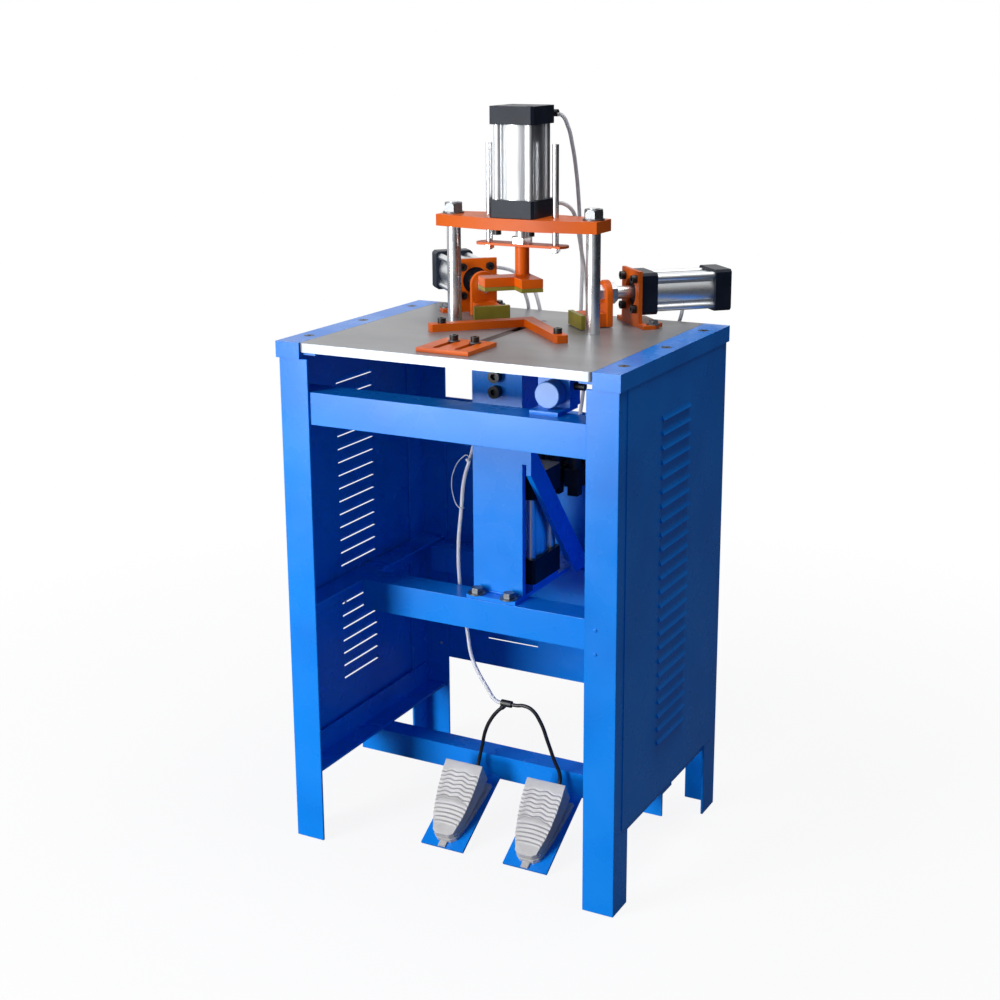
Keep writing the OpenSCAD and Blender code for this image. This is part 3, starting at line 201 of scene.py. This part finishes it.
def bumped(tree, shader, height, distance):
    """Bump from a height of 0 to 1, distance in metres."""
    bump = put(tree, "ShaderNodeBump", {"Height": height, "Distance": distance, "Strength": 1.0})
    tree.links.new(bump.outputs[0], shader.inputs["Normal"])


def powder_coat(name, light, plain, dark, rough, peel, specular):
    """Powder paint on steel: thick and even, with an orange-peel skin about 1.5 mm across."""
    made, tree, shader = material(name)
    place = mapped(tree)
    patches = noise(tree, place, 6, 2)
    colour = ramp(tree, patches, (0.32, dark), (0.5, plain), (0.72, light))
    tree.links.new(colour, shader.inputs["Base Color"])
    smudge = ramp(tree, noise(tree, place, 14, 3), (0.35, rough - 0.04), (0.7, rough + 0.06))
    tree.links.new(smudge, shader.inputs["Roughness"])
    shader.inputs["Specular IOR Level"].default_value = specular
    bumped(tree, shader, noise(tree, place, 620, 2), peel)
    return made


def bare_metal(name, light, dark, rough, grain=(1, 1, 1), turn=(0, 0, 0), scale=700, depth=1e-5):
    """Bare metal whose tool or drawing marks run across the direction that grain stretches."""
    made, tree, shader = material(name)
    place = mapped(tree, grain, turn)
    marks = noise(tree, place, scale, 4, 0.6)
    tree.links.new(ramp(tree, marks, (0.3, dark), (0.65, light)), shader.inputs["Base Color"])
    tree.links.new(ramp(tree, marks, (0.25, rough * 0.8), (0.75, rough * 1.35)),
                   shader.inputs["Roughness"])
    shader.inputs["Metallic"].default_value = 1.0
    bumped(tree, shader, marks, depth)
    return made


def moulded(name, light, dark, rough, pores, depth, specular=0.5, transmission=0.0,
            scatter=0.0):
    """Moulded or cast surface: nearly even colour with a fine skin."""
    made, tree, shader = material(name)
    place = mapped(tree)
    tree.links.new(ramp(tree, noise(tree, place, 25, 4), (0.3, dark), (0.7, light)),
                   shader.inputs["Base Color"])
    shader.inputs["Roughness"].default_value = rough
    shader.inputs["Specular IOR Level"].default_value = specular
    shader.inputs["Transmission Weight"].default_value = transmission
    shader.inputs["Subsurface Weight"].default_value = scatter
    shader.inputs["Subsurface Radius"].default_value = (1, 1, 1)
    shader.inputs["Subsurface Scale"].default_value = 0.012
    bumped(tree, shader, noise(tree, place, pores, 3), depth)
    return made


def ground_plate():
    """The worktop: fine grey streaks along its width, a few darker rubbed patches, and a front
    face painted a lighter bluish grey as a painted highlight and reflection. The record takes
    it for laminate; it is shaded here as ground steel."""
    made, tree, shader = material("ground_steel_table")
    streaks = noise(tree, mapped(tree, (1.2, 26, 1)), 26, 6, 0.7)
    patches = noise(tree, mapped(tree, (1, 2.2, 1)), 5, 3)
    top = ramp(tree, streaks, (0.3, "#7f8081"), (0.5, "#919293"), (0.72, "#a5a5a6"))
    rubbed = ramp(tree, patches, (0.35, "#7b7b7c"), (0.65, "#9d9d9e"))
    blend = put(tree, "ShaderNodeMix", {"Factor": 0.45, "A": top, "B": rubbed}, data_type="RGBA")
    # the front face, in front of Y -0.2093 m, is painted a lighter bluish grey: a painted
    # highlight and reflection where it faces the lamps
    place = put(tree, "ShaderNodeTexCoord")
    apart = put(tree, "ShaderNodeSeparateXYZ", {"Vector": place.outputs["Object"]})
    front_face_mask = put(tree, "ShaderNodeMath", {0: apart.outputs["Y"], 1: -0.2093}, operation="LESS_THAN")
    painted_front_highlight = put(tree, "ShaderNodeMix", {"Factor": front_face_mask.outputs[0], "A": blend.outputs["Result"],
                                         "B": linear("#a0a7b2")}, data_type="RGBA")
    tree.links.new(painted_front_highlight.outputs["Result"], shader.inputs["Base Color"])
    shader.inputs["Metallic"].default_value = 0.35
    tree.links.new(ramp(tree, streaks, (0.3, 0.3), (0.7, 0.42)), shader.inputs["Roughness"])
    bumped(tree, shader, streaks, 2e-5)
    return made


quarter = math.radians(45)
paints = {
    # aluminium blind rivets, bright where paint never reached
    "rivet_metal": bare_metal("blind_rivet_aluminium", "#e9ebee", "#cfd2d6", 0.3),
    # natural nylon, slightly see-through
    "clear_nylon": moulded("natural_nylon", "#e8edf2", "#d9e0e8", 0.3, 500, 2e-6,
                           transmission=0.3),
    # gloss powder coat over welded steel, its tone varying a little in patches
    "blue_paint": powder_coat("blue_powder_coat", "#0f8bf2", "#0786ee", "#047de4", 0.28, 8e-6,
                              0.33),
    # satin powder coat, slightly mottled
    "orange_paint": powder_coat("orange_powder_coat", "#e4690c", "#dc5f08", "#c95205", 0.38, 1e-5,
                                0.2),
    "grey_laminate": ground_plate(),
    # cast end caps, blackened, with the fine skin of the casting
    "black_anodised": moulded("black_anodised_aluminium", "#222936", "#171d28", 0.36, 900, 8e-6,
                              specular=0.12),
    # drawn tube, its die lines along the cylinder
    "satin_aluminium": bare_metal("drawn_aluminium", "#eceef0", "#d6dadd", 0.34, (1, 1, 0.02)),
    "chromed_steel": bare_metal("hard_chrome", "#e2e4e6", "#d8dbde", 0.27, (1, 1, 0.4), scale=60,
                                depth=4e-7),
    "zinc_steel": bare_metal("zinc_plated_steel", "#85888b", "#65686c", 0.4),
    "black_steel": moulded("blackened_steel", "#17181b", "#0d0e10", 0.36, 1500, 6e-6),
    "tool_steel": bare_metal("ground_tool_steel", "#b4b7bb", "#94979c", 0.28, (1, 1, 0.05)),
    # cast urethane, soft
    "olive_urethane": moulded("cast_urethane", "#93892a", "#7c7420", 0.42, 300, 2e-5),
    # die-cast pedal under light grey hammer paint
    "cast_grey": moulded("painted_die_casting", "#cbc9c6", "#bbb8b5", 0.42, 500, 2.5e-5,
                         scatter=0.45),
    "white_tube": moulded("polyurethane_tube", "#f8fafc", "#f0f3f8", 0.35, 300, 1e-6,
                          transmission=0.1, scatter=1.0),
    "black_rubber": moulded("black_pvc", "#1b1c1f", "#101113", 0.42, 600, 8e-6),
    "black_plastic": moulded("glass_filled_nylon", "#1b1c20", "#111215", 0.45, 900, 1e-5),
    "blue_plastic": moulded("moulded_abs", "#5f97e6", "#5089d8", 0.3, 500, 5e-6),
}
paints["clamp_tube_left"] = bare_metal("drawn_aluminium_left", "#eceef0", "#d6dadd", 0.34,
                                       (0.02, 1, 1), (0, 0, quarter))
paints["clamp_tube_right"] = bare_metal("drawn_aluminium_right", "#eceef0", "#d6dadd", 0.34,
                                        (0.02, 1, 1), (0, 0, -quarter))


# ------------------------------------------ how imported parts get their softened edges

# A pedal plate's frame: where its surface starts, and its slope. On it, a treadle's top face is
# TOP_HEIGHT above the plate where the treadle starts and climbs by TOP_RISE. Millimetres.
PLATE_Y, PLATE_Z, SLOPE = -142.03, 3.4465, math.radians(30.5)
TREADLE_START, TOP_HEIGHT, TOP_RISE = 12, 17, 0.3706
FRONT_RIBS, REAR_RIBS = (20, 62), (62, 112)
TREADLE_X = {"left_treadle": -47, "right_treadle": 100}
RIB_ARC, RIB_RIPPLE = 3.4, 1.3


def curve_ribs(piece, middle):
    """Bends a treadle's cross ribs into arcs, with a ripple in the rear ones."""
    columns = range(-28, 29, 4)
    bpy.ops.mesh.select_mode(type="VERT")
    for x in columns:
        bpy.ops.mesh.select_all(action="SELECT")
        bpy.ops.mesh.bisect(plane_co=((middle + x) * MM, 0, 0), plane_no=(1, 0, 0))
    grid = bmesh.from_edit_mesh(piece.data)
    for x in columns:
        for start, end in (FRONT_RIBS, REAR_RIBS):
            ripple = RIB_RIPPLE * math.sin(x * 0.27) if (start, end) == REAR_RIBS else 0
            out = RIB_ARC * (1 - (x / 30) ** 2) + ripple
            up = out * TOP_RISE
            for vert in grid.verts:
                y, z = vert.co.y / MM - PLATE_Y, vert.co.z / MM - PLATE_Z
                along = y * math.cos(SLOPE) + z * math.sin(SLOPE)
                above = z * math.cos(SLOPE) - y * math.sin(SLOPE)
                vert.select = (abs(vert.co.x / MM - middle - x) < 0.05
                               and above > TOP_HEIGHT + TOP_RISE * (along - TREADLE_START)
                               and start < along < end)
            grid.select_flush_mode()
            bmesh.update_edit_mesh(piece.data)
            bpy.ops.transform.translate(value=(
                0, (out * math.cos(SLOPE) - up * math.sin(SLOPE)) * MM,
                (out * math.sin(SLOPE) + up * math.cos(SLOPE)) * MM))
            grid = bmesh.from_edit_mesh(piece.data)


def dress(name, width):
    """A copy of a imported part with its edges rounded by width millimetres, in its own paint."""
    piece = bpy.data.objects.new(name + "_finished", nodes[name].data.copy())
    bpy.context.collection.objects.link(piece)
    select_only(piece)
    bpy.ops.object.mode_set(mode="EDIT")
    bpy.ops.mesh.select_all(action="SELECT")
    bpy.ops.mesh.remove_doubles(threshold=2e-6)
    bpy.ops.mesh.dissolve_limited(angle_limit=math.radians(0.6), delimit={"NORMAL"})
    if name.endswith("treadle"):
        curve_ribs(piece, TREADLE_X[name])
    bpy.ops.object.mode_set(mode="OBJECT")
    soft = piece.modifiers.new("soft_edges", "BEVEL")
    soft.width = width * MM
    soft.segments = 2
    soft.limit_method = "ANGLE"
    soft.angle_limit = math.radians(38)
    bpy.ops.object.modifier_apply(modifier=soft.name)
    bpy.ops.object.shade_smooth_by_angle(angle=math.radians(32))
    even = piece.modifiers.new("flat_faces", "WEIGHTED_NORMAL")
    even.keep_sharp = True
    bpy.ops.object.modifier_apply(modifier=even.name)
    piece.data.materials.clear()
    piece.data.materials.append(paints[slots[name]])
    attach(piece, body_of[name])
    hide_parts(name)
    return piece


# ------------------------------------------------------------------- cords and tubes

def bent_bar(name, route, radius, roundness, steps):
    """A round bar along a smooth line through a route's points; millimetres."""
    curve = bpy.data.curves.new(name, "CURVE")
    curve.dimensions = "3D"
    curve.bevel_depth = radius * MM
    curve.bevel_resolution = roundness
    curve.resolution_u = steps
    curve.use_fill_caps = True
    line = curve.splines.new("BEZIER")
    line.bezier_points.add(len(route) - 1)
    for point, place in zip(line.bezier_points, route):
        point.co = [p * MM for p in place]
        point.handle_left_type = point.handle_right_type = "AUTO"
    piece = bpy.data.objects.new(name, curve)
    bpy.context.collection.objects.link(piece)
    return piece


TUBE_RADIUS = 3


def tube(name, node, route, paint):
    """A hose or cable along a route in millimetres. It runs back into the
    object, or ends in the piece that it carries."""
    piece = bent_bar(name, route, TUBE_RADIUS, 5, 10)
    piece.data.materials.append(paints[paint])
    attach(piece, "bench")
    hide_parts(node)


sleeve = dress("cable_junction", 0.8)
tube("cable_to_sleeve", "control_cable", [
    (-60, 190, 547), (-72, 190, 547), (-86, 182, 556), (-90, 160, 588), (-84, 120, 628),
    (-74, 60, 642), (-68, 20, 630), (-68, 2, 604), (-78, 0, 570), (-84, 0, 520), (-90, 0, 458),
    (-89, 0, 400), (-82, -3, 358), (-70, -10, 318), (-58, -19, 282), (-40, -28, 258),
    (-20, -35, 238), (-6, -39, 224), (2, -40, 221), (8, -40, 221)
], "white_tube")
tube("lead_to_left_pedal", "left_lead", [
    (8, -40, 212), (0, -40, 204), (-12, -39, 188), (-23, -37, 166), (-33, -31, 134),
    (-38, -29, 116), (-40, -30.5, 104), (-40, -36.3, 95.9), (-40, -43.2, 91.83)
], "black_rubber")
tube("lead_to_right_pedal", "right_lead", [
    (26, -40, 221), (34, -40, 221), (48, -40, 223), (62, -40, 219), (76, -38, 200),
    (88, -36, 168), (98, -31, 134), (105, -29, 116), (107, -30.5, 104), (107, -36.3, 95.9),
    (107, -43.2, 91.83)
], "black_rubber")
tube("air_tube_press_top", "press_top_hose", [
    (34, 104, 1133), (40, 104, 1132), (48, 109, 1116), (52, 118, 1086), (51, 134, 1046),
    (46, 154, 1002), (40, 172, 962), (33, 192, 924), (26, 212, 888), (21, 221, 850),
    (19, 222, 800), (15, 224, 760), (5, 222, 728), (-8, 212, 696), (-11, 199, 648),
    (-4, 193, 612), (2, 192, 594), (2, 192, 580)
], "white_tube")
tube("air_tube_press_bottom", "press_bottom_hose", [
    (34, 104, 999), (44, 104, 998), (54, 110, 990), (57, 122, 972), (52, 144, 944),
    (45, 168, 918), (38, 192, 893), (32, 212, 868), (30, 224, 836), (29, 228, 790),
    (30, 225, 740), (31, 212, 692), (30, 199, 644), (25, 193, 608), (22, 192, 592), (22, 192, 580)
], "white_tube")
tube("air_tube_left_front", "left_hose_a", [
    (-119.1, 196.2, 861), (-111.1, 204.2, 861), (-95, 214, 856), (-82, 221, 832), (-74, 223, 790),
    (-64, 221, 736), (-56, 206, 674), (-47, 195, 626), (-38, 192, 594), (-38, 192, 580)
], "white_tube")
tube("air_tube_left_rear", "left_hose_b", [
    (-207.5, 284.6, 861), (-199.5, 292.6, 861), (-176, 300, 861), (-132, 284, 857),
    (-86, 252, 842), (-60, 229, 812), (-54, 229, 770), (-47, 226, 722), (-40, 207, 674),
    (-29, 196, 632), (-18, 192, 596), (-18, 192, 580)
], "white_tube")
tube("air_tube_right", "right_hose", [
    (207.5, 284.6, 861), (199.5, 292.6, 861), (184, 296, 852), (178, 280, 830), (182, 250, 806),
    (178, 228, 776), (150, 222, 720), (112, 206, 676), (82, 197, 644), (54, 193, 608),
    (42, 192, 594), (42, 192, 580)
], "white_tube")


# radius in millimetres that each part's edges have
edges = {
    "top_rails": 2.0, "front_left_leg": 1.2, "front_right_leg": 1.2, "rear_left_leg": 1.2,
    "rear_right_leg": 1.2, "crossbars": 1.2, "side_rails": 1.0, "pedal_bar": 1.0, "column": 0.8,
    "left_panel": 0.3, "right_panel": 0.3, "rear_panel": 0.3, "worktop": 0.5, "beam": 1.2,
    "press_foot": 1.5, "press_pad": 0.6, "guide_strip": 0.5, "press_caps": 1.2,
    "left_clamp_caps": 1.2, "right_clamp_caps": 1.2, "driver_caps": 1.2,
    "left_clamp_bracket": 1.0, "right_clamp_bracket": 1.0, "left_jaw": 1.5, "right_jaw": 1.5,
    "left_jaw_pad": 0.8, "right_jaw_pad": 0.8, "corner_fence": 0.9, "slotted_plate": 0.6,
    "feed_strip": 0.3, "pedal_bases": 1.0, "left_treadle": 1.0, "right_treadle": 1.0,
    "ram": 0.4, "ram_guide": 0.8, "air_regulator": 1.2, "valve_manifold": 1.0,
    "regulator_knob": 1.2, "air_fittings": 0.5, "black_screws": 0.4,
    "hex_fasteners": 0.5, "press_rod": 0.5, "left_clamp_rod": 0.5, "right_clamp_rod": 0.5,
    "guide_rods": 0.6, "pillars": 0.6,
}
for name, width in edges.items():
    dress(name, width)
for name in ("press_barrel", "driver_barrel", "left_clamp_barrel", "right_clamp_barrel",
             "driver_rod"):
    paint = {"left_clamp_barrel": "clamp_tube_left",
             "right_clamp_barrel": "clamp_tube_right"}.get(name, slots[name])
    for slot in nodes[name].material_slots:
        slot.material = paints[paint]


# ------------------------------------------------------------- small hardware

def turned_piece(name, place, axis, radius, depth, bevel, body, paint, sides=32):
    """A disc, pin or rivet from place along axis, all in millimetres, with a rounded rim."""
    way = Vector(axis).normalized()
    select_only(floor)
    bpy.ops.mesh.primitive_cylinder_add(
        vertices=sides, radius=radius * MM, depth=depth * MM,
        location=(Vector(place) + way * depth / 2) * MM,
        rotation=way.to_track_quat("Z", "Y").to_euler())
    piece = bpy.context.object
    piece.name = name
    bpy.ops.object.transform_apply(location=True, rotation=True, scale=True)
    if bevel:
        rim = piece.modifiers.new("rim", "BEVEL")
        rim.width = bevel * MM
        rim.segments = 4
        rim.limit_method = "ANGLE"
        rim.angle_limit = math.radians(50)
        bpy.ops.object.modifier_apply(modifier=rim.name)
    bpy.ops.object.shade_smooth_by_angle(angle=math.radians(35))
    piece.data.materials.append(paints[paint])
    if body:
        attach(piece, body)
    return piece


def cut(piece, cutter):
    """Takes the cutter out of the piece and removes it."""
    select_only(piece)
    hole = piece.modifiers.new("hole", "BOOLEAN")
    hole.operation = "DIFFERENCE"
    hole.object = cutter
    bpy.ops.object.modifier_apply(modifier=hole.name)
    bpy.data.objects.remove(cutter)


def recessed_screw(name, place, axis, radius, body):
    """Socket head screw, its head sunk in a cap's counterbore."""
    head = turned_piece(name, place, axis, radius, 3.2, 0.5, body, "black_steel")
    start = Vector(place) + Vector(axis).normalized() * 1.0
    cut(head, turned_piece("hexagon", start, axis, radius * 0.56, 4, 0, None, "black_steel",
                           sides=6))
    return head


def joined(name, pieces):
    """Joins pieces of one kind and one body."""
    select_only(pieces[0])
    for piece in pieces:
        piece.select_set(True)
    bpy.ops.object.join()
    pieces[0].name = name


def beside(p, y, z, side):
    """A point of a side clamp: p along its axis from the fence's corner, y across it."""
    x, back = (p - y) * math.sqrt(0.5), (p + y) * math.sqrt(0.5)
    return (side * x, back, z)


# Tie bolts' heads in the press cylinder's top cap and in the rear caps of the clamps. From a
# cap's middle to its bolts is BOLT_SHARE of its width, both across and along; millimetres.
BOLT_SHARE, PRESS_CAP, CLAMP_CAP = 0.3765, 75, 65
PRESS_Y, PRESS_CAP_FACE = 50, 1144.2
CLAMP_LINE, CLAMP_Z, CLAMP_CAP_FACE = 10, 861, 357.2
reach = BOLT_SHARE * PRESS_CAP
joined("press_cap_screws", [
    recessed_screw("press_cap_screw_%d" % i, (a * reach, PRESS_Y + b * reach, PRESS_CAP_FACE),
                   (0, 0, 1), 4.6, "bench") for i, (a, b) in enumerate(CORNERS)])
reach = BOLT_SHARE * CLAMP_CAP
for side, label in ((-1, "left"), (1, "right")):
    joined(label + "_clamp_cap_screws", [
        recessed_screw("%s_cap_screw_%d" % (label, i),
                       beside(CLAMP_CAP_FACE, CLAMP_LINE + a * reach, CLAMP_Z + b * reach, side),
                       (side, 1, 0), 4.0, "bench")
        for i, (a, b) in enumerate(CORNERS)])

# rivets: bare ones from sheet panels to legs, and two under the front right leg's paint
spots = [((side * 278, y, z), (-side, 0, 0)) for side in (-1, 1)
         for y, z in ((-49, 347), (-49, 690))]
spots += [((side * 242.4, 202, z), (0, -1, 0)) for side in (-1, 1) for z in (193.6, 610)]
spots += [((side * 242.4, 207.5, z), (0, 1, 0)) for side in (-1, 1) for z in (193.6, 610)]
joined("panel_rivets", [
    turned_piece("rivet_%d" % i, place, axis, 3.0, 1.5, 1.2, "bench", "rivet_metal",
                 sides=24) for i, (place, axis) in enumerate(spots)])

joined("leg_rivets", [
    turned_piece("leg_rivet_%d" % i, (245.2, -206, z), (0, -1, 0), 3.0, 1.3, 1.0, "bench",
                 "blue_paint", sides=24) for i, z in enumerate((404.4, 440.4))])

# countersunk screw in the worktop behind the fence
screw = turned_piece("worktop_screw", (3, 118, 809.4), (0, 0, 1), 5.5, 0.9, 0.3, "bench",
                     "zinc_steel")
cut(screw, turned_piece("hexagon", (3, 118, 809.7), (0, 0, 1), 2.6, 4, 0, None, "zinc_steel",
                        sides=6))


def strand(name, route, radius, paint):
    """A thin bent rod or bead along a route in millimetres, as a mesh."""
    piece = bent_bar(name, route, radius, 2, 8)
    select_only(piece)
    bpy.ops.object.convert(target="MESH")
    piece.data.materials.clear()
    piece.data.materials.append(paints[paint])
    bpy.ops.object.shade_smooth()
    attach(piece, "bench")


# nylon tie round the cable, its long tail bent back to its head
strand("cable_tie", [(-66, -4.2, 606), (-70, -4.6, 610), (-80, -4.5, 604), (-93, -3.5, 586),
                     (-100, -2, 562), (-97, -2.5, 540), (-89, -4.5, 525), (-82.5, -4.6, 521)],
       0.8, "clear_nylon")
turned_piece("cable_tie_head", (-67, -5.2, 601), (-0.35, 0, 1), 4.4, 4.5, 0.8, "bench",
             "clear_nylon", sides=20)
turned_piece("cable_tie_band", (-83, 0, 519), (-0.1, 0, 1), 3.9, 3, 0.6, "bench",
             "clear_nylon", sides=24)

# rippled weld bead of the column on its foot plate
strand("column_weld", [(x, -35.8 + 0.25 * (i % 2), 403) for i, x in enumerate(range(-41, 43, 3))],
       1.7, "blue_paint")
